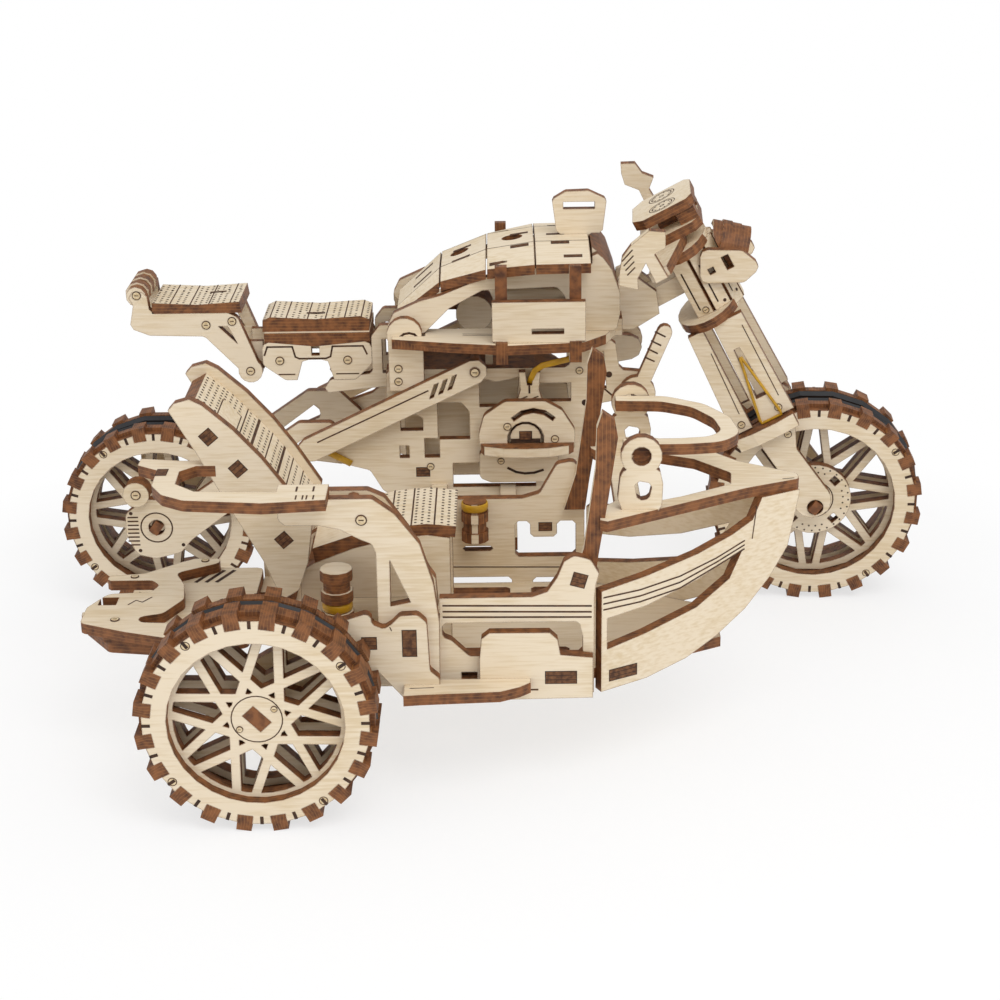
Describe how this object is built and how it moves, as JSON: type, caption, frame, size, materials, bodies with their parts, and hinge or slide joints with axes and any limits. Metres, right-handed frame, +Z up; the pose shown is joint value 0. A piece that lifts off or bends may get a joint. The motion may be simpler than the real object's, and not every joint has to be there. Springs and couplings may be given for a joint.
{
  "type": "sidecar motorcycle model kit",
  "caption": "Laser-cut plywood model of a motorcycle with a sidecar: steering raked fork, lugged spoked wheels with rubber rings, slatted drum, perforated seats and an open boat-shaped sidecar",
  "frame": {"origin": "on the floor, under the middle of the overall box: half way between the rear and front tyres' ends and half way between the sidecar wheel's outer face and the left end of the handlebar", "axes": "+X forward, +Y the bike's left, away from the sidecar, +Z up"},
  "size_m": [0.2773, 0.1849, 0.1364],
  "materials": {
    "birch_ply": "laser-cut, unfinished",
    "rubber_black": "moulded",
    "rubber_yellow": "moulded"
  },
  "bodies": {
    "chassis": {"axle_carrier": "birch_ply", "bow_plates": "birch_ply", "bow_rim": "birch_ply", "cushion_supports": "birch_ply", "engine_block": "birch_ply", "engine_covers": "birch_ply", "fender": "birch_ply", "floor": "birch_ply", "foot_levers": "birch_ply", "footboard": "birch_ply", "frame_plates": "birch_ply", "grab_bar": "birch_ply", "grip_hoop": "birch_ply", "hull_sides": "birch_ply", "passenger_seat": "birch_ply", "passenger_seat_brackets": "birch_ply", "rear_hub_plates": "birch_ply", "rear_rack": "birch_ply", "rider_seat_box": "birch_ply", "rider_seat_pad": "birch_ply", "ring_brackets": "birch_ply", "seat_back_pad": "birch_ply", "seat_cushion": "birch_ply", "seat_link": "birch_ply", "seat_sides": "birch_ply", "sidecar_shock": "birch_ply", "sidecar_struts": "birch_ply", "steering_head": "birch_ply", "swing_arms": "birch_ply", "tank_frame": "birch_ply", "tank_handle": "birch_ply", "tank_pivots": "birch_ply", "tank_sides": "birch_ply", "tank_top": "birch_ply", "windscreen_posts": "birch_ply"},
    "steering": {"fork_band": "rubber_yellow", "fork_drum": "birch_ply", "fork_ends": "birch_ply", "fork_legs": "birch_ply", "handlebar": "birch_ply", "headlamp": "birch_ply", "headlamp_bracket": "birch_ply", "instrument_panel": "birch_ply", "steering_stem": "birch_ply"},
    "front_wheel": {"front_axle": "birch_ply", "front_wheel_brake_disc": "birch_ply", "front_wheel_o_rings": "rubber_black", "front_wheel_rings": "birch_ply", "front_wheel_spokes": "birch_ply", "front_wheel_tread": "birch_ply"},
    "rear_wheel": {"rear_axle": "birch_ply", "rear_wheel_o_rings": "rubber_black", "rear_wheel_rings": "birch_ply", "rear_wheel_spokes": "birch_ply", "rear_wheel_tread": "birch_ply"},
    "sidecar_wheel": {"sidecar_axle": "birch_ply", "sidecar_wheel_o_rings": "rubber_black", "sidecar_wheel_rings": "birch_ply", "sidecar_wheel_spokes": "birch_ply", "sidecar_wheel_tread": "birch_ply"}
  },
  "joints": [
    {"name": "steering", "type": "hinge", "parent": "chassis", "child": "steering", "pos_m": [0.10433, 0.0573, 0.03435], "axis": [-0.4741, 0, 0.8805], "range_deg": [-10, 19]},
    {"name": "front_wheel_spin", "type": "hinge", "parent": "steering", "child": "front_wheel", "pos_m": [0.10433, 0.0573, 0.03435], "axis": [0.066, 0.9972, 0.0355], "continuous": true},
    {"name": "rear_wheel_spin", "type": "hinge", "parent": "chassis", "child": "rear_wheel", "pos_m": [-0.1071, 0.0573, 0.03133], "axis": [0, 1, 0], "continuous": true},
    {"name": "sidecar_wheel_spin", "type": "hinge", "parent": "chassis", "child": "sidecar_wheel", "pos_m": [-0.0603, -0.08485, 0.03133], "axis": [0, 1, 0], "continuous": true}
  ]
}
